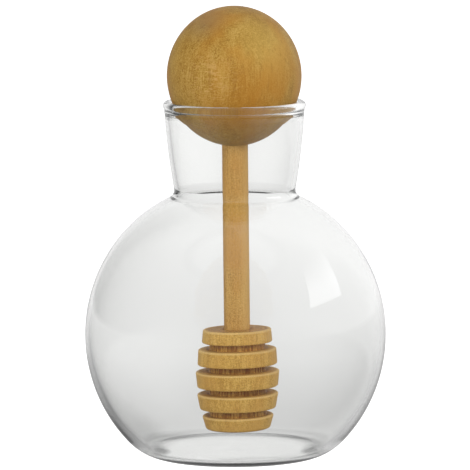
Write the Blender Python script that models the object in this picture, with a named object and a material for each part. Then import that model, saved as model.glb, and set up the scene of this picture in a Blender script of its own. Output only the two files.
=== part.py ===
"""Honey jar: a round glass flask with a wooden ball stopper that carries a honey dipper.

Everything is in metres, +Z up. The origin is the centre of the flat base, on the surface
that the jar stands on. Each turned piece is an outline of (radius, height) points spun
round its own axis.
"""

import math

import bmesh
import bpy
from mathutils import Vector

MM = 0.001

# Play left between pieces that touch in the real thing
CLEARANCE = 0.3 * MM

# Glass flask, outside: a bulb with a flat base, a round corner and a flared neck
BULB_RADIUS = 45.2 * MM
BULB_HALF_HEIGHT = 46.0 * MM
BULB_CENTRE_Z = 37.5 * MM
BASE_CORNER = 18.0 * MM
NECK_LOW_Z = 80.9 * MM
NECK_LOW_RADIUS = 18.15 * MM
NECK_HIGH_Z = 103.6 * MM
NECK_HIGH_RADIUS = 20.9 * MM
NECK_BOW = 0.33 * MM
SHOULDER_FILLET = 2.5 * MM

# Glass flask, inside: the wall is thin at the bulb's waist and thick at the floor
WALL_WAIST = 1.4 * MM
WALL_NECK_LOW = 1.4 * MM
WALL_NECK_HIGH = 1.3 * MM
INNER_FILLET = 1.5 * MM
HOLLOW_HALF_HEIGHT = 44.0 * MM
HOLLOW_CENTRE_Z = 38.0 * MM
FLOOR_THICKNESS = 2.5 * MM
FLOOR_CORNER = 5.0 * MM

# Round bead of the rim
BEAD_CENTRE_RADIUS = 20.1 * MM
BEAD_THICKNESS = 2.7 * MM
BEAD_Z = 106.5 * MM
BEAD_START = math.radians(-40)
BEAD_END = math.radians(230)

# Wooden ball that rests in the rim, a little taller than wide
BALL_RADIUS = 20.2 * MM
BALL_HALF_HEIGHT = 21.0 * MM
BALL_CENTRE_Z = 115.4 * MM
BALL_SOCKET_DEPTH = 12.0 * MM

# Stopper and dipper hang a little out of plumb, and the discs a little out of square
STOPPER_LEAN = math.radians(0.35)
DISC_SLOPE = 0.0165

# Straight dowel between the ball and the dipper's head
STEM_RADIUS = 3.9 * MM
STEM_CHAMFER = 0.4 * MM

# Turned head of the dipper: five discs on a core, heights measured in the jar
HEAD_TOP_Z = 38.9 * MM
HEAD_SOCKET_DEPTH = 9.0 * MM
CORE_RADIUS = 8.4 * MM
GROOVE_HEIGHT = 2.0 * MM
DISC_HEIGHTS = [4.0 * MM, 4.8 * MM, 4.8 * MM, 4.7 * MM, 4.2 * MM]
DISC_TOP_RADII = [10.3 * MM, 11.8 * MM, 12.6 * MM, 12.2 * MM, 10.7 * MM]
DISC_LOW_RADII = [10.6 * MM, 12.0 * MM, 12.2 * MM, 11.5 * MM, 9.9 * MM]
DISC_ROUNDING = 0.45 * MM
LAST_DISC_ROUNDING = 0.9 * MM

# Sides of the turned meshes and steps along their arcs
JAR_SIDES = 52
WOOD_SIDES = 40
STEM_SIDES = 24
BULB_LOW_STEPS = 6
BULB_HIGH_STEPS = 8
CORNER_STEPS = 5
FILLET_STEPS = 4
NECK_STEPS = 3
BEAD_STEPS = 9
BALL_STEPS = 18
ROUNDING_STEPS = 2

QUARTER_TURN = math.pi / 2
FULL_TURN = 2 * math.pi
SHARP_ANGLE = math.radians(35)


def clear_scene():
    for old in list(bpy.data.objects):
        bpy.data.objects.remove(old, do_unlink=True)


def material(name, colour, roughness, alpha=1.0):
    """A Principled material, its colour given as linear red, green and blue."""
    made = bpy.data.materials.new(name)
    made.use_nodes = True
    shader = made.node_tree.nodes["Principled BSDF"]
    shader.inputs["Base Color"].default_value = (*colour, 1.0)
    shader.inputs["Roughness"].default_value = roughness
    shader.inputs["Metallic"].default_value = 0.0
    shader.inputs["Alpha"].default_value = alpha
    made.diffuse_color = (*colour, alpha)
    return made


def arc(centre, radius, start, end, steps):
    """Points along a circle's arc, both ends included."""
    angles = [start + (end - start) * i / steps for i in range(steps + 1)]
    return [centre + radius * Vector((math.cos(a), math.sin(a))) for a in angles]


def heading(direction):
    return math.atan2(direction.y, direction.x)


def crossing(measure, low, high, rounds=60):
    """Where measure changes sign between low and high, by halving."""
    rising = measure(high) > measure(low)
    for _ in range(rounds):
        middle = (low + high) / 2
        if (measure(middle) > 0) == rising:
            high = middle
        else:
            low = middle
    return (low + high) / 2


class Bulb:
    """An ellipse about the jar's axis, at height centre_z."""

    def __init__(self, radius, half_height, centre_z):
        self.radius = radius
        self.half_height = half_height
        self.centre_z = centre_z

    def point(self, t):
        return Vector((self.radius * math.cos(t), self.centre_z + self.half_height * math.sin(t)))

    def normal(self, t):
        return Vector((math.cos(t) / self.radius, math.sin(t) / self.half_height)).normalized()

    def inside_circle(self, t, radius):
        """Centre of the circle that touches the ellipse at t from inside."""
        return self.point(t) - radius * self.normal(t)

    def outside_circle(self, t, radius):
        return self.point(t) + radius * self.normal(t)


class Neck:
    """A slightly bowed line between two points of the outline, as an arc of a large circle."""

    def __init__(self, low, high, bow):
        chord = high - low
        self.radius = chord.length_squared / (8 * bow) + bow / 2
        outward = Vector((chord.y, -chord.x)).normalized()
        self.centre = (low + high) / 2 + (bow - self.radius) * outward
        self.high = high

    def angle_of(self, point):
        return heading(point - self.centre)


def flask_side(bulb, floor_z, corner, fillet, neck):
    """Outline from the floor's centre out and up: floor, corner, bulb, fillet and neck."""
    low_t = crossing(lambda t: bulb.inside_circle(t, corner).y - corner - floor_z, -QUARTER_TURN, 0)
    high_t = crossing(
        lambda t: (bulb.outside_circle(t, fillet) - neck.centre).length - neck.radius - fillet,
        0,
        QUARTER_TURN,
    )
    corner_centre = bulb.inside_circle(low_t, corner)
    corner_arc = arc(corner_centre, corner, -QUARTER_TURN, heading(bulb.normal(low_t)), CORNER_STEPS)
    low_arc = [bulb.point(low_t * (1 - i / BULB_LOW_STEPS)) for i in range(1, BULB_LOW_STEPS + 1)]
    high_arc = [bulb.point(high_t * i / BULB_HIGH_STEPS) for i in range(1, BULB_HIGH_STEPS)]
    fillet_centre = bulb.outside_circle(high_t, fillet)
    fillet_start = heading(bulb.point(high_t) - fillet_centre) % FULL_TURN
    fillet_end = heading(neck.centre - fillet_centre) % FULL_TURN
    fillet_arc = arc(fillet_centre, fillet, fillet_start, fillet_end, FILLET_STEPS)
    neck_start = neck.angle_of(fillet_centre)
    neck_arc = arc(neck.centre, neck.radius, neck_start, neck.angle_of(neck.high), NECK_STEPS)
    return [Vector((0, floor_z))] + corner_arc + low_arc + high_arc + fillet_arc + neck_arc[1:]


def outer_side():
    bulb = Bulb(BULB_RADIUS, BULB_HALF_HEIGHT, BULB_CENTRE_Z)
    low = Vector((NECK_LOW_RADIUS, NECK_LOW_Z))
    high = Vector((NECK_HIGH_RADIUS, NECK_HIGH_Z))
    return flask_side(bulb, 0.0, BASE_CORNER, SHOULDER_FILLET, Neck(low, high, NECK_BOW))


def inner_side():
    bulb = Bulb(BULB_RADIUS - WALL_WAIST, HOLLOW_HALF_HEIGHT, HOLLOW_CENTRE_Z)
    low = Vector((NECK_LOW_RADIUS - WALL_NECK_LOW, NECK_LOW_Z))
    high = Vector((NECK_HIGH_RADIUS - WALL_NECK_HIGH, NECK_HIGH_Z))
    neck = Neck(low, high, NECK_BOW)
    return flask_side(bulb, FLOOR_THICKNESS, FLOOR_CORNER, INNER_FILLET, neck)


def jar_outline():
    """Up the outside, over the rim's bead and down the inside, from axis to axis."""
    bead_centre = Vector((BEAD_CENTRE_RADIUS, BEAD_Z))
    bead = arc(bead_centre, BEAD_THICKNESS / 2, BEAD_START, BEAD_END, BEAD_STEPS)
    return outer_side() + bead + inner_side()[::-1]


def ball_outline():
    """From the bottom of the stem's socket out and round to the top, about the ball's centre."""
    socket_radius = STEM_RADIUS + CLEARANCE
    mouth_t = -math.acos(socket_radius / BALL_RADIUS)
    mouth_z = BALL_HALF_HEIGHT * math.sin(mouth_t)
    roof_z = mouth_z + BALL_SOCKET_DEPTH
    outline = [Vector((0, roof_z)), Vector((socket_radius, roof_z))]
    for i in range(BALL_STEPS + 1):
        t = mouth_t + (QUARTER_TURN - mouth_t) * i / BALL_STEPS
        outline.append(Vector((BALL_RADIUS * math.cos(t), BALL_HALF_HEIGHT * math.sin(t))))
    outline[-1].x = 0
    return outline


def stem_outline(length):
    """A dowel standing on the origin, with its end edges broken."""
    inner = STEM_RADIUS - STEM_CHAMFER
    return [
        Vector((0, 0)),
        Vector((inner, 0)),
        Vector((STEM_RADIUS, STEM_CHAMFER)),
        Vector((STEM_RADIUS, length - STEM_CHAMFER)),
        Vector((inner, length)),
        Vector((0, length)),
    ]


def disc_outline(top_z, low_z, top_radius, low_radius, low_rounding):
    """One disc's edge from top to bottom, both corners rounded."""
    top_centre = Vector((top_radius - DISC_ROUNDING, top_z - DISC_ROUNDING))
    low_centre = Vector((low_radius - low_rounding, low_z + low_rounding))
    top = arc(top_centre, DISC_ROUNDING, QUARTER_TURN, 0, ROUNDING_STEPS)
    low = arc(low_centre, low_rounding, 0, -QUARTER_TURN, ROUNDING_STEPS)
    return top + low


def head_outline():
    """From the socket's floor up, out over the discs and back to the axis, top at height 0."""
    socket_radius = STEM_RADIUS + CLEARANCE
    outline = [Vector((0, -HEAD_SOCKET_DEPTH)), Vector((socket_radius, -HEAD_SOCKET_DEPTH))]
    outline.append(Vector((socket_radius, 0)))
    top_z = 0.0
    last = len(DISC_HEIGHTS) - 1
    for i, height in enumerate(DISC_HEIGHTS):
        low_z = top_z - height
        rounding = LAST_DISC_ROUNDING if i == last else DISC_ROUNDING
        outline += disc_outline(top_z, low_z, DISC_TOP_RADII[i], DISC_LOW_RADII[i], rounding)
        if i < last:
            outline.append(Vector((CORE_RADIUS, low_z)))
            outline.append(Vector((CORE_RADIUS, low_z - GROOVE_HEIGHT)))
        top_z = low_z - GROOVE_HEIGHT
    outline.append(Vector((0, low_z)))
    return outline


def turned(name, outline, sides, finish):
    """Spin an outline that starts and ends on the axis into one closed solid."""
    shape = bmesh.new()
    points = [shape.verts.new((p.x, 0, p.y)) for p in outline]
    edges = [shape.edges.new(pair) for pair in zip(points, points[1:])]
    bmesh.ops.spin(
        shape,
        geom=points + edges,
        cent=(0, 0, 0),
        axis=(0, 0, 1),
        angle=FULL_TURN,
        steps=sides,
        use_merge=True,
    )
    bmesh.ops.remove_doubles(shape, verts=shape.verts, dist=MM / 1000)
    bmesh.ops.recalc_face_normals(shape, faces=shape.faces)
    mesh = bpy.data.meshes.new(name)
    shape.to_mesh(mesh)
    shape.free()
    mesh.shade_smooth()
    mesh.set_sharp_from_angle(angle=SHARP_ANGLE)
    mesh.materials.append(finish)
    piece = bpy.data.objects.new(name, mesh)
    bpy.context.collection.objects.link(piece)
    return piece


def hang(piece, pivot, height):
    """Place a piece of the stopper at a height above or below the pivot, on its axis."""
    piece.parent = pivot
    piece.location = (0, 0, height)


def build_jar():
    glass = material("clear_glass", (0.93, 0.95, 0.94), 0.03, alpha=0.35)
    return turned("glass_jar", jar_outline(), JAR_SIDES, glass)


def build_stopper():
    """The ball, the stem and the head, hung from one pivot at the ball's centre."""
    pivot = bpy.data.objects.new("stopper_axis", None)
    bpy.context.collection.objects.link(pivot)
    pivot.location = (0, 0, BALL_CENTRE_Z)
    pivot.rotation_euler = (0, -STOPPER_LEAN, 0)

    ball_finish = material("ball_wood", (0.50, 0.30, 0.10), 0.5)
    ball = turned("ball_stopper", ball_outline(), WOOD_SIDES, ball_finish)
    hang(ball, pivot, 0)

    socket_roof = ball_outline()[0].y
    stem_top = socket_roof - CLEARANCE
    head_top = HEAD_TOP_Z - BALL_CENTRE_Z
    stem_low = head_top - HEAD_SOCKET_DEPTH + CLEARANCE
    stem_finish = material("stem_wood", (0.55, 0.30, 0.10), 0.55)
    stem = turned("dipper_stem", stem_outline(stem_top - stem_low), STEM_SIDES, stem_finish)
    hang(stem, pivot, stem_low)

    head_finish = material("head_wood", (0.48, 0.27, 0.09), 0.6)
    head = turned("dipper_head", head_outline(), WOOD_SIDES, head_finish)
    for vertex in head.data.vertices:
        vertex.co.z += DISC_SLOPE * vertex.co.x
    hang(head, pivot, head_top)


clear_scene()
build_jar()
build_stopper()
bpy.context.view_layer.update()
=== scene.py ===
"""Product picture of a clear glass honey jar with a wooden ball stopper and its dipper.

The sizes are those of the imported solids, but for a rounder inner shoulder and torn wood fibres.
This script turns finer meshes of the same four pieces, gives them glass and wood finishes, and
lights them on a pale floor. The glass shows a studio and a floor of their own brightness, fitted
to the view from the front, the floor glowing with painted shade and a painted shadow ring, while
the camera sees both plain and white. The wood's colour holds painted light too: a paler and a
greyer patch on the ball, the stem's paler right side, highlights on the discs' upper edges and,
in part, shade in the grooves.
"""

import math

import bmesh
import bpy
from mathutils import Matrix, Vector, noise


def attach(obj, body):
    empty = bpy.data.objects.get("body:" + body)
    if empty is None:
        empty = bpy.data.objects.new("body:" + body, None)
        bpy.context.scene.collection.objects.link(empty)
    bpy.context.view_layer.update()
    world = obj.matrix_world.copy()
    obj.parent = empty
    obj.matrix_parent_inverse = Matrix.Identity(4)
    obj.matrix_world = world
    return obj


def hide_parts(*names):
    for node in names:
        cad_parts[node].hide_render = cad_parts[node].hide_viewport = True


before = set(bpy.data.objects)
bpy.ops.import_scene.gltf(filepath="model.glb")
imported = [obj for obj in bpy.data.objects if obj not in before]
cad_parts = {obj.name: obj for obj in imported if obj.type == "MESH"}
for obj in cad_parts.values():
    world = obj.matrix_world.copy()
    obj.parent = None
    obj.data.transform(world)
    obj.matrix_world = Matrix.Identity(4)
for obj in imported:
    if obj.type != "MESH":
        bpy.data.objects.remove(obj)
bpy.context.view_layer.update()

MM = 0.001
QUARTER_TURN = math.pi / 2
FULL_TURN = 2 * math.pi

# Glass flask, outside
BULB_RADIUS = 45.2 * MM
BULB_HALF_HEIGHT = 46.0 * MM
BULB_CENTRE_Z = 37.5 * MM
BASE_CORNER = 18.0 * MM
NECK_LOW_Z = 80.9 * MM
NECK_LOW_RADIUS = 18.15 * MM
NECK_HIGH_Z = 103.6 * MM
NECK_HIGH_RADIUS = 20.9 * MM
NECK_BOW = 0.33 * MM
SHOULDER_FILLET = 2.5 * MM

# Glass flask, inside
INNER_FILLET = 3.2 * MM
WALL_WAIST = 1.4 * MM
WALL_NECK_LOW = 1.4 * MM
WALL_NECK_HIGH = 1.3 * MM
HOLLOW_HALF_HEIGHT = 44.0 * MM
HOLLOW_CENTRE_Z = 38.0 * MM
FLOOR_THICKNESS = 2.5 * MM
FLOOR_CORNER = 5.0 * MM

# Rim bead
BEAD_CENTRE_RADIUS = 20.1 * MM
BEAD_THICKNESS = 2.7 * MM
BEAD_Z = 106.5 * MM
BEAD_START = math.radians(-40)
BEAD_END = math.radians(230)

# Wooden stopper and dipper
CLEARANCE = 0.3 * MM
BALL_RADIUS = 20.2 * MM
BALL_HALF_HEIGHT = 21.0 * MM
BALL_CENTRE_Z = 115.4 * MM
BALL_SOCKET_DEPTH = 12.0 * MM
STOPPER_LEAN = math.radians(0.35)
STEM_RADIUS = 3.9 * MM
STEM_CHAMFER = 0.4 * MM
HEAD_TOP_Z = 38.9 * MM
HEAD_SOCKET_DEPTH = 9.0 * MM
CORE_RADIUS = 8.4 * MM
GROOVE_HEIGHT = 2.0 * MM
DISC_HEIGHTS = [4.0 * MM, 4.8 * MM, 4.8 * MM, 4.7 * MM, 4.2 * MM]
DISC_TOP_RADII = [10.3 * MM, 11.8 * MM, 12.6 * MM, 12.2 * MM, 10.7 * MM]
DISC_LOW_RADII = [10.6 * MM, 12.0 * MM, 12.2 * MM, 11.5 * MM, 9.9 * MM]
DISC_ROUNDING = 0.45 * MM
LAST_DISC_ROUNDING = 0.9 * MM
DISC_SLOPE = 0.0165

# Torn fibres of the head: depth, how much deeper along the lower edges, and how fine
NICK_DEPTH = 0.09 * MM
EDGE_NICKS = 2.5
EDGE_REACH = 0.8 * MM
FIBRES_PER_METRE = 1300
FIBRE_STRETCH = 0.2

# Marks on the ball: centre, reach, share and colour of each. The first two are partly painted light.
BALL_MARKS_AND_PAINTED_LIGHT = [
    # Darker, greyer patch on the upper left: partly wood colour, partly painted shade and grey sheen
    ((-0.0085, -0.0090, 0.1320), 0.0090, 0.45, (134, 112, 84)),
    # Pale patch on the upper right: partly wood colour, partly a painted pool of light
    ((0.0090, -0.0140, 0.1260), 0.0150, 0.40, (204, 172, 88)),
    ((0.0040, -0.0190, 0.1070), 0.0190, 0.60, (172, 114, 34)),
    ((-0.0060, 0.0180, 0.1200), 0.0140, 0.40, (170, 120, 50)),
]
RIPPLE_CENTRE = (-0.0065, -0.0185, 0.1160)
RIPPLE_REACH = 0.0120

# Brightness of the studio's walls as the glass shows them, by degrees clockwise from behind
STUDIO_WALLS = [
    (0, 1.00),
    (20, 1.02),
    (45, 1.20),
    (75, 1.30),
    (100, 1.25),
    (125, 1.00),
    (150, 0.72),
    (172, 0.32),
    (185, 0.30),
    (215, 0.52),
    (245, 0.46),
    (270, 0.28),
    (290, 0.08),
    (318, 0.03),
    (342, 0.92),
    (360, 1.00),
]
# Painted shade of the floor as the glass shows it, by the same degrees
FLOOR_PAINTED_SHADE = [
    (0, 1.00),
    (45, 0.95),
    (90, 0.80),
    (135, 0.80),
    (165, 0.32),
    (195, 0.30),
    (225, 0.66),
    (268, 0.50),
    (294, 0.38),
    (308, 0.52),
    (322, 0.64),
    (336, 0.92),
    (348, 1.00),
    (360, 1.00),
]
# Painted brightness of that floor by metres from the jar's axis: painted shadow near the jar, darkest in
# a painted shadow ring where the jar stands
FLOOR_PAINTED_GLOW_AND_SHADOW = [
    (0, 0.80),
    (0.021, 0.80),
    (0.0245, 0.25),
    (0.0275, 0.25),
    (0.031, 0.72),
    (0.080, 0.72),
    (0.200, 0.85),
    (0.800, 1.00),
]
# Close to the axis the floor gets no painted shade by direction; the painted shade is full from here on
SHADE_START = 0.024
SHADE_FULL = 0.041
# Inward directions square to the window's lower, left and right edges, high on the right
WINDOW_EDGES = [(-0.31, 0.08, 0.95), (0.53, 0.79, -0.32), (0.0, -0.90, 0.44)]
WINDOW_LIGHT = (4.0, 4.0, 4.05, 1.0)
OVERHEAD_LIGHT = (0.75, 0.75, 0.75, 1.0)

# Fineness of the turned meshes
GLASS_SIDES = 160
WOOD_SIDES = 128
HEAD_SIDES = 224
STEM_SIDES = 96

# The picture: 0.3 mm to a pixel at the jar, seen from 2.6 metres away
PICTURE_WIDTH = 470
MM_PER_PIXEL = 0.3
CAMERA_DISTANCE = 2.6
CAMERA_ELEVATION = math.radians(6.6)
CAMERA_ROLL = math.radians(-0.29)
CAMERA_TARGET_Z = 67.4 * MM
SENSOR_WIDTH = 36.0

# Stage and lamps
FLOOR_RADIUS = 6.0
FLOOR_DROP = 0.2 * MM
LAMP_TARGET_Z = 0.06


class Level:
    """A number on a shader socket; arithmetic on it adds Math nodes."""

    def __init__(self, finish, socket):
        self.finish = finish
        self.socket = socket

    def _math(self, operation, *values):
        made = self.finish.node("ShaderNodeMath", {"operation": operation}, dict(enumerate(values)))
        return Level(self.finish, made.outputs[0])

    def __add__(self, other):
        return self._math("ADD", self, other)

    def __radd__(self, other):
        return self._math("ADD", other, self)

    def __sub__(self, other):
        return self._math("SUBTRACT", self, other)

    def __rsub__(self, other):
        return self._math("SUBTRACT", other, self)

    def __mul__(self, other):
        return self._math("MULTIPLY", self, other)

    def __rmul__(self, other):
        return self._math("MULTIPLY", other, self)

    def __truediv__(self, other):
        return self._math("DIVIDE", self, other)

    def root(self):
        return self._math("SQRT", self)

    def size(self):
        return self._math("ABSOLUTE", self)

    def most(self, other):
        return self._math("MAXIMUM", self, other)


class Finish:
    """A node tree being built: a material's, or the surroundings'."""

    def __init__(self, owner):
        self.owner = owner
        owner.use_nodes = True
        self.tree = owner.node_tree
        self.tree.nodes.clear()

    def node(self, kind, settings=None, values=None):
        """One node: its settings are set first, then its sockets get numbers, colours or links."""
        made = self.tree.nodes.new(kind)
        for key, setting in (settings or {}).items():
            if key == "stops":
                self._set_stops(made.color_ramp, setting)
            else:
                setattr(made, key, setting)
        for key, value in (values or {}).items():
            socket = made.inputs[key]
            if isinstance(value, Level):
                value = value.socket
            if isinstance(value, bpy.types.NodeSocket):
                self.tree.links.new(value, socket)
            else:
                socket.default_value = value
        return made

    def _set_stops(self, ramp, stops):
        while len(ramp.elements) < len(stops):
            ramp.elements.new(0.5)
        for element, (place, colour) in zip(ramp.elements, stops):
            element.position = place
            element.color = colour if len(colour) == 4 else (*colour, 1.0)

    def level(self, node, output=0):
        return Level(self, node.outputs[output])

    def place(self, scale=(1, 1, 1), shift=(0, 0, 0)):
        """Object coordinates, moved and stretched."""
        source = self.node("ShaderNodeTexCoord").outputs["Object"]
        values = {"Vector": source, "Location": shift, "Scale": scale}
        return self.node("ShaderNodeMapping", {"vector_type": "POINT"}, values).outputs[0]

    def parts(self, vector):
        """The x, y and z of a vector as three levels."""
        made = self.node("ShaderNodeSeparateXYZ", values={0: vector})
        return [Level(self, out) for out in made.outputs]

    def along(self, vector, direction):
        """How far a vector reaches in a direction."""
        made = self.node("ShaderNodeVectorMath", {"operation": "DOT_PRODUCT"}, {0: vector, 1: direction})
        return Level(self, made.outputs["Value"])

    def hanging(self):
        """Object coordinates along the stopper's leaning axis, from the ball's centre."""
        source = self.node("ShaderNodeTexCoord").outputs["Object"]
        values = {
            "Vector": source,
            "Location": (0, 0, BALL_CENTRE_Z),
            "Rotation": (0, -STOPPER_LEAN, 0),
        }
        return self.node("ShaderNodeMapping", {"vector_type": "TEXTURE"}, values).outputs[0]

    def nearness(self, centre, reach):
        """1 at a place of the piece, fading to 0 at a distance from it."""
        source = self.node("ShaderNodeTexCoord").outputs["Object"]
        values = {0: source, 1: centre}
        made = self.node("ShaderNodeVectorMath", {"operation": "DISTANCE"}, values)
        return self.span(Level(self, made.outputs["Value"]), reach, 0.0)

    def cloud(self, vector, scale, detail=2.0, roughness=0.5, distortion=0.0):
        """Soft noise from 0 to 1."""
        values = {
            "Vector": vector,
            "Scale": scale,
            "Detail": detail,
            "Roughness": roughness,
            "Distortion": distortion,
        }
        return self.level(self.node("ShaderNodeTexNoise", {"noise_dimensions": "3D"}, values), "Fac")

    def span(self, value, low, high, out_low=0.0, out_high=1.0, smooth=True):
        """value carried from low..high to out_low..out_high, and held at both ends."""
        kind = "SMOOTHSTEP" if smooth else "LINEAR"
        values = {0: value, 1: low, 2: high, 3: out_low, 4: out_high}
        return self.level(self.node("ShaderNodeMapRange", {"interpolation_type": kind}, values))

    def around(self, x, y, levels):
        """Brightness by degrees clockwise from +Y, read from a list of stops."""
        turn = self.level(self.node("ShaderNodeMath", {"operation": "ARCTAN2"}, {0: x, 1: y}))
        share = {0: turn / FULL_TURN + 1.0}
        part = self.level(self.node("ShaderNodeMath", {"operation": "FRACT"}, share))
        return Level(self, self.tint(part, [(at / 360, (level,) * 3) for at, level in levels]))

    def tint(self, value, stops):
        """A colour read from a ramp."""
        return self.node("ShaderNodeValToRGB", {"stops": stops}, {0: value}).outputs["Color"]

    def blend(self, share, first, second, how="MIX"):
        """Two colours mixed by share, which is 0 for the first."""
        settings = {"data_type": "RGBA", "blend_type": how}
        made = self.node("ShaderNodeMix", settings, {0: share, 6: first, 7: second})
        return made.outputs[2]

    def relief(self, height, strength, distance):
        values = {"Height": height, "Strength": strength, "Distance": distance}
        return self.node("ShaderNodeBump", values=values).outputs[0]

    def finish_with(self, shader, kind="ShaderNodeOutputMaterial"):
        self.node(kind, values={"Surface": shader})
        return self.owner


def new_finish(name):
    return Finish(bpy.data.materials.new(name))


def rgb(red, green, blue):
    """A colour given as 0 to 255 values of a picture, as the linear colour that shaders use."""
    return tuple(((c / 255) ** 2.2) for c in (red, green, blue)) + (1.0,)


def clear_glass():
    """Clear blown glass with a faint waviness; lamps and soft light pass straight through it."""
    finish = new_finish("clear_glass")
    wave = finish.cloud(finish.place(scale=(1, 1, 0.6)), 60.0, 1.0)
    rub = finish.cloud(finish.place(), 400.0, 3.0)
    glass = finish.node(
        "ShaderNodeBsdfPrincipled",
        values={
            "Base Color": (0.970, 0.973, 0.966, 1.0),
            "Roughness": finish.span(rub, 0.5, 0.9, 0.0, 0.02),
            "IOR": 1.47,
            "Transmission Weight": 1.0,
            "Normal": finish.relief(wave, 0.1, 0.0005),
        },
    )
    open_way = finish.node("ShaderNodeBsdfTransparent", values={"Color": (0.93, 0.94, 0.94, 1.0)})
    path = finish.node("ShaderNodeLightPath")
    lamps_pass = finish.node(
        "ShaderNodeMixShader",
        values={0: path.outputs["Is Shadow Ray"], 1: glass.outputs[0], 2: open_way.outputs[0]},
    )
    soft_pass = finish.node(
        "ShaderNodeMixShader",
        values={0: path.outputs["Is Diffuse Ray"], 1: lamps_pass.outputs[0], 2: open_way.outputs[0]},
    )
    return finish.finish_with(soft_pass.outputs[0])


def wood(finish, pale, middle, dark, warm):
    """Colour and relief of fine, straight-grained wood whose fibres run upright."""
    fibre = finish.cloud(finish.place(scale=(1, 1, 0.06)), 2600.0, 3.0, 0.6)
    streak = finish.cloud(finish.place(scale=(1, 1, 0.03)), 420.0, 3.0, 0.55)
    patch = finish.cloud(finish.place(scale=(1, 1, 0.7)), 70.0, 2.0)
    speck = finish.cloud(finish.place(), 2300.0, 2.0, 0.75)
    tone = fibre * 0.25 + streak * 0.20 + patch * 0.13 + speck * 0.42
    base = finish.tint(tone, [(0.42, dark), (0.50, middle), (0.59, pale)])
    blush = finish.cloud(finish.place(shift=(0.3, 0.1, 0.2), scale=(1, 1, 0.5)), 110.0, 2.0)
    colour = finish.blend(finish.span(blush, 0.42, 0.66, 0.0, 0.55), base, warm)
    return colour, fibre * 0.5 + speck * 0.5


def oiled(finish, colour, height, depth=0.00010):
    """A thin oil finish: a soft, low sheen over the grain."""
    shader = finish.node(
        "ShaderNodeBsdfPrincipled",
        values={
            "Base Color": colour,
            "Roughness": finish.span(height, 0.3, 0.7, 0.50, 0.64),
            "Specular IOR Level": 0.3,
            "Normal": finish.relief(height, 0.35, depth),
        },
    )
    return finish.finish_with(shader.outputs[0])


def ball_wood():
    """Olive brown with a warm heart and a rippled figure; a darker, greyer patch on the upper left is
    partly painted shade and sheen, a pale one on the upper right partly painted light.
    """
    finish = new_finish("ball_wood")
    colour, height = wood(
        finish, rgb(184, 150, 80), rgb(164, 126, 57), rgb(136, 99, 38), rgb(170, 116, 40)
    )
    # Blend each spot in; the upper-left one is partly painted shade and sheen, the upper-right one
    # partly painted light
    for centre, reach, share, spot_colour_and_painted_light in BALL_MARKS_AND_PAINTED_LIGHT:
        spot_tone_and_painted_light = finish.nearness(centre, reach) * share
        colour = finish.blend(spot_tone_and_painted_light, colour, rgb(*spot_colour_and_painted_light))
    ripple = finish.cloud(finish.place(scale=(0.22, 0.22, 1.0)), 1900.0, 2.0, 0.6, 0.6)
    figure = finish.nearness(RIPPLE_CENTRE, RIPPLE_REACH)
    mark = finish.span(ripple, 0.50, 0.62) * figure * 0.45
    colour = finish.blend(mark, colour, rgb(206, 166, 104))
    dash = finish.cloud(finish.place(scale=(1, 1, 0.12)), 1300.0, 1.0)
    colour = finish.blend(finish.span(dash, 0.60, 0.72, 0.0, 0.35), colour, rgb(140, 98, 40))
    return oiled(finish, colour, height + ripple * figure * 0.5)


def stem_wood():
    """A warm, even dowel whose right side is painted paler, as painted light from the right."""
    finish = new_finish("stem_wood")
    colour, height = wood(
        finish, rgb(214, 170, 98), rgb(197, 151, 80), rgb(168, 122, 58), rgb(200, 143, 70)
    )
    # Painted light: the right side (+x) of the dowel is painted paler, as if lit from the right
    x = finish.parts(finish.place())[0]
    colour = finish.blend(finish.span(x, 0.001, 0.0035, 0.0, 0.4), colour, rgb(226, 182, 108))
    return oiled(finish, colour, height)


def head_wood():
    """Pale turned wood, freckled, with a painted highlight along the discs' upper edges, and grooves
    darkened by torn fibres and partly by painted shade.
    """
    finish = new_finish("head_wood")
    colour, height = wood(
        finish, rgb(226, 183, 100), rgb(208, 162, 81), rgb(180, 134, 60), rgb(205, 153, 76)
    )
    x, y, z = finish.parts(finish.hanging())
    reach = (x * x + y * y).root()
    drop = z - x * DISC_SLOPE - (HEAD_TOP_Z - BALL_CENTRE_Z)
    # Painted highlight: a paler line along each disc's rounded upper edge, where the light catches it
    for top_z, radius in disc_tops():
        line = finish.span((drop - (top_z - 0.15 * MM)).size(), 0.55 * MM, 0.15 * MM)
        painted_edge_highlight = line * finish.span(reach, radius - 1.3 * MM, radius - 0.5 * MM)
        colour = finish.blend(painted_edge_highlight * 0.45, colour, rgb(240, 206, 140))
    # Grooves darkened: torn fibres, and partly painted shade under the overhanging discs
    deep = finish.span(reach, CORE_RADIUS + 1.6 * MM, CORE_RADIUS + 0.6 * MM)
    torn = finish.cloud(finish.place(scale=(1, 1, 0.12)), 1500.0, 2.0, 0.7)
    fibre_and_painted_shade_share = deep * finish.span(torn, 0.40, 0.60, 0.15, 0.85)
    colour = finish.blend(fibre_and_painted_shade_share, colour, rgb(132, 80, 22))
    return oiled(finish, colour, height, 0.00014)


def arc(centre, radius, start, end, steps):
    """Points along a circle's arc, both ends included."""
    angles = [start + (end - start) * i / steps for i in range(steps + 1)]
    return [centre + radius * Vector((math.cos(a), math.sin(a))) for a in angles]


def line(start, end, steps):
    """Points between two places, without the ends."""
    return [start.lerp(end, i / steps) for i in range(1, steps)]


def heading(direction):
    return math.atan2(direction.y, direction.x)


def crossing(measure, low, high, rounds=60):
    """Where measure changes sign between low and high, by halving."""
    rising = measure(high) > measure(low)
    for _ in range(rounds):
        middle = (low + high) / 2
        if (measure(middle) > 0) == rising:
            high = middle
        else:
            low = middle
    return (low + high) / 2


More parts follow.
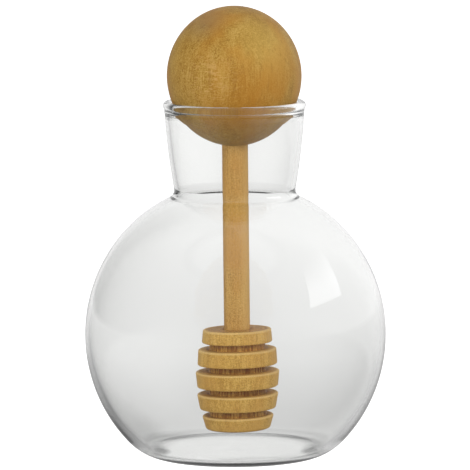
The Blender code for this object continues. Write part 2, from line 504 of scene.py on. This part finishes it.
class Bulb:
    """An ellipse about the jar's axis, at height centre_z."""

    def __init__(self, radius, half_height, centre_z):
        self.radius = radius
        self.half_height = half_height
        self.centre_z = centre_z

    def point(self, t):
        return Vector((self.radius * math.cos(t), self.centre_z + self.half_height * math.sin(t)))

    def normal(self, t):
        return Vector((math.cos(t) / self.radius, math.sin(t) / self.half_height)).normalized()


class Neck:
    """A slightly bowed line between two points of the outline, as an arc of a large circle."""

    def __init__(self, low, high, bow):
        chord = high - low
        self.radius = chord.length_squared / (8 * bow) + bow / 2
        outward = Vector((chord.y, -chord.x)).normalized()
        self.centre = (low + high) / 2 + (bow - self.radius) * outward
        self.high = high

    def angle_of(self, point):
        return heading(point - self.centre)


def flask_side(bulb, floor_z, corner, fillet, neck):
    """Outline from the floor's edge out and up: corner, bulb, fillet and neck."""
    low_t = crossing(
        lambda t: (bulb.point(t) - corner * bulb.normal(t)).y - corner - floor_z, -QUARTER_TURN, 0
    )
    high_t = crossing(
        lambda t: (bulb.point(t) + fillet * bulb.normal(t) - neck.centre).length
        - neck.radius
        - fillet,
        0,
        QUARTER_TURN,
    )
    corner_centre = bulb.point(low_t) - corner * bulb.normal(low_t)
    side = arc(corner_centre, corner, -QUARTER_TURN, heading(bulb.normal(low_t)), 20)
    side += [bulb.point(low_t + (high_t - low_t) * i / 72) for i in range(1, 72)]
    fillet_centre = bulb.point(high_t) + fillet * bulb.normal(high_t)
    fillet_start = heading(bulb.point(high_t) - fillet_centre) % FULL_TURN
    fillet_end = heading(neck.centre - fillet_centre) % FULL_TURN
    side += arc(fillet_centre, fillet, fillet_start, fillet_end, 14)
    neck_start = neck.angle_of(fillet_centre)
    side += arc(neck.centre, neck.radius, neck_start, neck.angle_of(neck.high), 14)[1:]
    return side


def jar_outline():
    """Up the outside, over the rim's bead and down the inside, from axis to axis."""
    outside = flask_side(
        Bulb(BULB_RADIUS, BULB_HALF_HEIGHT, BULB_CENTRE_Z),
        0.0,
        BASE_CORNER,
        SHOULDER_FILLET,
        Neck(
            Vector((NECK_LOW_RADIUS, NECK_LOW_Z)), Vector((NECK_HIGH_RADIUS, NECK_HIGH_Z)), NECK_BOW
        ),
    )
    inside = flask_side(
        Bulb(BULB_RADIUS - WALL_WAIST, HOLLOW_HALF_HEIGHT, HOLLOW_CENTRE_Z),
        FLOOR_THICKNESS,
        FLOOR_CORNER,
        INNER_FILLET,
        Neck(
            Vector((NECK_LOW_RADIUS - WALL_NECK_LOW, NECK_LOW_Z)),
            Vector((NECK_HIGH_RADIUS - WALL_NECK_HIGH, NECK_HIGH_Z)),
            NECK_BOW,
        ),
    )
    bead_centre = Vector((BEAD_CENTRE_RADIUS, BEAD_Z))
    bead = arc(bead_centre, BEAD_THICKNESS / 2, BEAD_START, BEAD_END, 28)
    base_centre = Vector((0, 0))
    floor_centre = Vector((0, FLOOR_THICKNESS))
    outline = [base_centre] + line(base_centre, outside[0], 12) + outside
    outline += bead + inside[::-1] + line(inside[0], floor_centre, 12) + [floor_centre]
    return outline


def ball_outline():
    """From the bottom of the stem's socket out and round to the top, about the ball's centre."""
    socket_radius = STEM_RADIUS + CLEARANCE
    mouth_t = -math.acos(socket_radius / BALL_RADIUS)
    roof_z = BALL_HALF_HEIGHT * math.sin(mouth_t) + BALL_SOCKET_DEPTH
    outline = [Vector((0, roof_z)), Vector((socket_radius, roof_z))]
    steps = 96
    for i in range(steps + 1):
        t = mouth_t + (QUARTER_TURN - mouth_t) * i / steps
        outline.append(Vector((BALL_RADIUS * math.cos(t), BALL_HALF_HEIGHT * math.sin(t))))
    outline[-1].x = 0
    return outline


def stem_outline(length):
    inner = STEM_RADIUS - STEM_CHAMFER
    low = Vector((STEM_RADIUS, STEM_CHAMFER))
    high = Vector((STEM_RADIUS, length - STEM_CHAMFER))
    foot = [Vector((0, 0)), Vector((inner, 0)), low]
    return foot + line(low, high, 90) + [high, Vector((inner, length)), Vector((0, length))]


def disc_outline(top_z, low_z, top_radius, low_radius, low_rounding):
    """One disc's edge from top to bottom, both corners rounded."""
    top_centre = Vector((top_radius - DISC_ROUNDING, top_z - DISC_ROUNDING))
    low_centre = Vector((low_radius - low_rounding, low_z + low_rounding))
    top = arc(top_centre, DISC_ROUNDING, QUARTER_TURN, 0, 5)
    low = arc(low_centre, low_rounding, 0, -QUARTER_TURN, 5)
    return top + line(top[-1], low[0], 10) + low


def disc_tops():
    """Height under the head's top, and radius, of each disc's upper edge."""
    tops = []
    top_z = 0.0
    for height, radius in zip(DISC_HEIGHTS, DISC_TOP_RADII):
        tops.append((top_z, radius))
        top_z -= height + GROOVE_HEIGHT
    return tops


def head_outline():
    """From the socket's floor up, out over the discs and back to the axis, top at height 0."""
    socket_radius = STEM_RADIUS + CLEARANCE
    outline = [Vector((0, -HEAD_SOCKET_DEPTH)), Vector((socket_radius, -HEAD_SOCKET_DEPTH))]
    outline.append(Vector((socket_radius, 0)))
    last = len(DISC_HEIGHTS) - 1
    for i, (top_z, top_radius) in enumerate(disc_tops()):
        low_z = top_z - DISC_HEIGHTS[i]
        rounding = LAST_DISC_ROUNDING if i == last else DISC_ROUNDING
        edge = disc_outline(top_z, low_z, top_radius, DISC_LOW_RADII[i], rounding)
        outline += line(outline[-1], edge[0], 6) + edge
        if i < last:
            core_top = Vector((CORE_RADIUS, low_z))
            core_low = Vector((CORE_RADIUS, low_z - GROOVE_HEIGHT))
            outline += line(edge[-1], core_top, 6) + [core_top]
            outline += line(core_top, core_low, 8) + [core_low]
    foot = Vector((0, low_z))
    return outline + line(outline[-1], foot, 8) + [foot]


def turned(outline, sides):
    """Spin an outline that starts and ends on the axis into one closed mesh."""
    shape = bmesh.new()
    points = [shape.verts.new((p.x, 0, p.y)) for p in outline]
    edges = [shape.edges.new(pair) for pair in zip(points, points[1:])]
    bmesh.ops.spin(
        shape,
        geom=points + edges,
        cent=(0, 0, 0),
        axis=(0, 0, 1),
        angle=FULL_TURN,
        steps=sides,
        use_merge=True,
    )
    bmesh.ops.remove_doubles(shape, verts=shape.verts, dist=MM / 1000)
    bmesh.ops.recalc_face_normals(shape, faces=shape.faces)
    return shape


def piece(name, shape, finish, place, node):
    """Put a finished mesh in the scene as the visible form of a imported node."""
    mesh = bpy.data.meshes.new(name)
    shape.transform(place)
    shape.to_mesh(mesh)
    shape.free()
    mesh.shade_smooth()
    mesh.materials.append(finish)
    made = bpy.data.objects.new(name, mesh)
    bpy.context.collection.objects.link(made)
    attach(made, "root")
    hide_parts(node)
    return made


def build_jar():
    shape = turned(jar_outline(), GLASS_SIDES)
    piece("flask", shape, clear_glass(), Matrix.Identity(4), "glass_jar")


def stopper_place(height):
    """The leaning axis of the stopper, with its zero at a height above the ball's centre."""
    pivot = Matrix.Translation((0, 0, BALL_CENTRE_Z))
    return pivot @ Matrix.Rotation(-STOPPER_LEAN, 4, "Y") @ Matrix.Translation((0, 0, height))


def build_ball():
    shape = turned(ball_outline(), WOOD_SIDES)
    piece("wooden_ball", shape, ball_wood(), stopper_place(0), "ball_stopper")


def build_stem():
    stem_top = ball_outline()[0].y - CLEARANCE
    head_top = HEAD_TOP_Z - BALL_CENTRE_Z
    stem_low = head_top - HEAD_SOCKET_DEPTH + CLEARANCE
    shape = turned(stem_outline(stem_top - stem_low), STEM_SIDES)
    piece("stem", shape, stem_wood(), stopper_place(stem_low), "dipper_stem")


def tear_fibres(shape):
    """Nick the turned faces along the fibres, deepest at the discs' lower edges."""
    lower_edges = [top_z - height for (top_z, _), height in zip(disc_tops(), DISC_HEIGHTS)]
    for vertex in shape.verts:
        reach = Vector((vertex.co.x, vertex.co.y)).length
        if reach < CORE_RADIUS - MM:
            continue
        gap = min(abs(vertex.co.z - edge_z) for edge_z in lower_edges)
        depth = NICK_DEPTH * (1 + EDGE_NICKS * max(0.0, 1 - gap / EDGE_REACH))
        place = Vector((vertex.co.x, vertex.co.y, vertex.co.z * FIBRE_STRETCH)) * FIBRES_PER_METRE
        shrink = 1 - depth * abs(noise.noise(place)) / reach
        vertex.co.x *= shrink
        vertex.co.y *= shrink


def build_head():
    shape = turned(head_outline(), HEAD_SIDES)
    tear_fibres(shape)
    for vertex in shape.verts:
        vertex.co.z += DISC_SLOPE * vertex.co.x
    place = stopper_place(HEAD_TOP_Z - BALL_CENTRE_Z)
    piece("dipper", shape, head_wood(), place, "dipper_head")


def floor_finish():
    """Pale floor: plain where it is seen straight; where the glass bends its light it glows with painted
    shade and a painted shadow ring.
    """
    finish = new_finish("pale_floor_painted_shadow")
    x, y, _ = finish.parts(finish.place())
    reach = (x * x + y * y).root()
    # Painted light seen only through the glass: the floor glows, with painted shadow near the jar, a
    # darker painted shadow ring where it stands, and painted shade by direction
    painted_glow = finish.tint(
        finish.span(reach, 0.0, 1.0, smooth=False),
        [(at, (level,) * 3) for at, level in FLOOR_PAINTED_GLOW_AND_SHADOW],
    )
    near = finish.span(reach, SHADE_FULL, SHADE_START)
    painted_shade = near.most(finish.around(x, y, FLOOR_PAINTED_SHADE))
    painted_floor_light = finish.blend(1.0, painted_glow, painted_shade.socket, "MULTIPLY")
    # The floor glows with this painted light and shade for rays that are neither camera nor diffuse rays
    painted_floor_glow = finish.node("ShaderNodeEmission", values={"Color": painted_floor_light, "Strength": 1.0})
    plain = finish.node("ShaderNodeBsdfDiffuse", values={"Color": (0.90, 0.90, 0.90, 1.0)})
    dull = finish.node("ShaderNodeBsdfDiffuse", values={"Color": (0.60, 0.60, 0.60, 1.0)})
    glow_white = finish.node(
        "ShaderNodeEmission", values={"Color": (1.0, 1.0, 1.0, 1.0), "Strength": 0.80}
    )
    white = finish.node(
        "ShaderNodeAddShader", values={0: plain.outputs[0], 1: glow_white.outputs[0]}
    )
    path = finish.node("ShaderNodeLightPath")
    by_soft = finish.node(
        "ShaderNodeMixShader",
        values={0: path.outputs["Is Diffuse Ray"], 1: painted_floor_glow.outputs[0], 2: dull.outputs[0]},
    )
    by_camera = finish.node(
        "ShaderNodeMixShader",
        values={0: path.outputs["Is Camera Ray"], 1: by_soft.outputs[0], 2: white.outputs[0]},
    )
    return finish.finish_with(by_camera.outputs[0])


def build_floor():
    shape = bmesh.new()
    bmesh.ops.create_circle(shape, cap_ends=True, segments=96, radius=FLOOR_RADIUS)
    mesh = bpy.data.meshes.new("floor")
    shape.to_mesh(mesh)
    shape.free()
    mesh.materials.append(floor_finish())
    floor = bpy.data.objects.new("floor", mesh)
    floor.location.z = -FLOOR_DROP
    bpy.context.collection.objects.link(floor)


def build_surroundings():
    """The studio that the glass shows; the camera sees plain white, and the wood a soft even light."""
    world = bpy.data.worlds.new("studio")
    bpy.context.scene.world = world
    finish = Finish(world)
    way = finish.node("ShaderNodeTexCoord").outputs["Generated"]
    x, y, z = finish.parts(way)
    walls = finish.around(x, y, STUDIO_WALLS)
    overhead = finish.span(z, 0.6, 1.0, 0.0, 0.7)
    mirrored = finish.blend(overhead, walls, OVERHEAD_LIGHT)

    window = 1.0
    for edge in WINDOW_EDGES:
        window = finish.span(finish.along(way, edge), 0.0, 0.02) * window
    window = window * finish.span(finish.along(way, WINDOW_EDGES[0]), 0.12, 0.48, 1.0, 0.0)
    path = finish.node("ShaderNodeLightPath")
    window = window * (1.0 - finish.level(path, "Is Transmission Ray"))
    mirrored = finish.blend(window, mirrored, WINDOW_LIGHT)
    shown = finish.node("ShaderNodeBackground", values={"Color": mirrored, "Strength": 1.0})
    soft = finish.node(
        "ShaderNodeBackground", values={"Color": (0.96, 0.98, 1.0, 1.0), "Strength": 0.36}
    )
    white = finish.node("ShaderNodeBackground", values={"Color": (1, 1, 1, 1), "Strength": 1.0})
    by_soft = finish.node(
        "ShaderNodeMixShader",
        values={0: path.outputs["Is Diffuse Ray"], 1: shown.outputs[0], 2: soft.outputs[0]},
    )
    by_camera = finish.node(
        "ShaderNodeMixShader",
        values={0: path.outputs["Is Camera Ray"], 1: by_soft.outputs[0], 2: white.outputs[0]},
    )
    finish.finish_with(by_camera.outputs[0], "ShaderNodeOutputWorld")


def softbox(name, direction, distance, width, height, lit, colour):
    """A lamp that faces the jar; lit is how bright it makes a white surface turned to it."""
    lamp = bpy.data.lights.new(name, "AREA")
    lamp.shape = "RECTANGLE"
    lamp.size = width
    lamp.size_y = height
    lamp.energy = lit * (math.pi * distance) ** 2
    lamp.color = colour
    made = bpy.data.objects.new(name, lamp)
    towards = Vector(direction).normalized()
    made.location = Vector((0, 0, LAMP_TARGET_Z)) + towards * distance
    made.rotation_euler = towards.to_track_quat("Z", "Y").to_euler()
    made.visible_camera = False
    made.visible_transmission = False
    made.visible_glossy = False
    bpy.context.collection.objects.link(made)


def build_lamps():
    softbox("key", (0.12, -0.88, 0.45), 1.2, 0.7, 0.7, 0.55, (1.0, 0.985, 0.96))
    softbox("right", (0.90, -0.30, 0.45), 1.0, 0.4, 0.4, 0.12, (1.0, 0.98, 0.95))
    softbox("left", (-0.90, -0.38, 0.20), 1.0, 0.5, 0.5, 0.32, (1.0, 0.98, 0.97))


def build_camera():
    """Looks along +Y from the photograph's height, with a long lens and a slight roll."""
    lens_pixels = CAMERA_DISTANCE / (MM_PER_PIXEL * MM)
    view = bpy.data.cameras.new("camera")
    view.sensor_width = SENSOR_WIDTH
    view.lens = lens_pixels / PICTURE_WIDTH * SENSOR_WIDTH
    view.clip_start = 0.1
    view.clip_end = 50.0
    camera = bpy.data.objects.new("camera", view)
    target = Vector((0, 0, CAMERA_TARGET_Z))
    away = Vector((0, -math.cos(CAMERA_ELEVATION), math.sin(CAMERA_ELEVATION)))
    aim = Matrix.Rotation(QUARTER_TURN - CAMERA_ELEVATION, 3, "X")
    roll = Matrix.Rotation(CAMERA_ROLL, 3, "Z")
    camera.matrix_world = Matrix.Translation(target + away * CAMERA_DISTANCE) @ (aim @ roll).to_4x4()
    bpy.context.collection.objects.link(camera)
    bpy.context.scene.camera = camera


build_jar()
build_ball()
build_stem()
build_head()
build_floor()
build_surroundings()
build_lamps()
build_camera()
bpy.context.scene.view_settings.view_transform = "Standard"
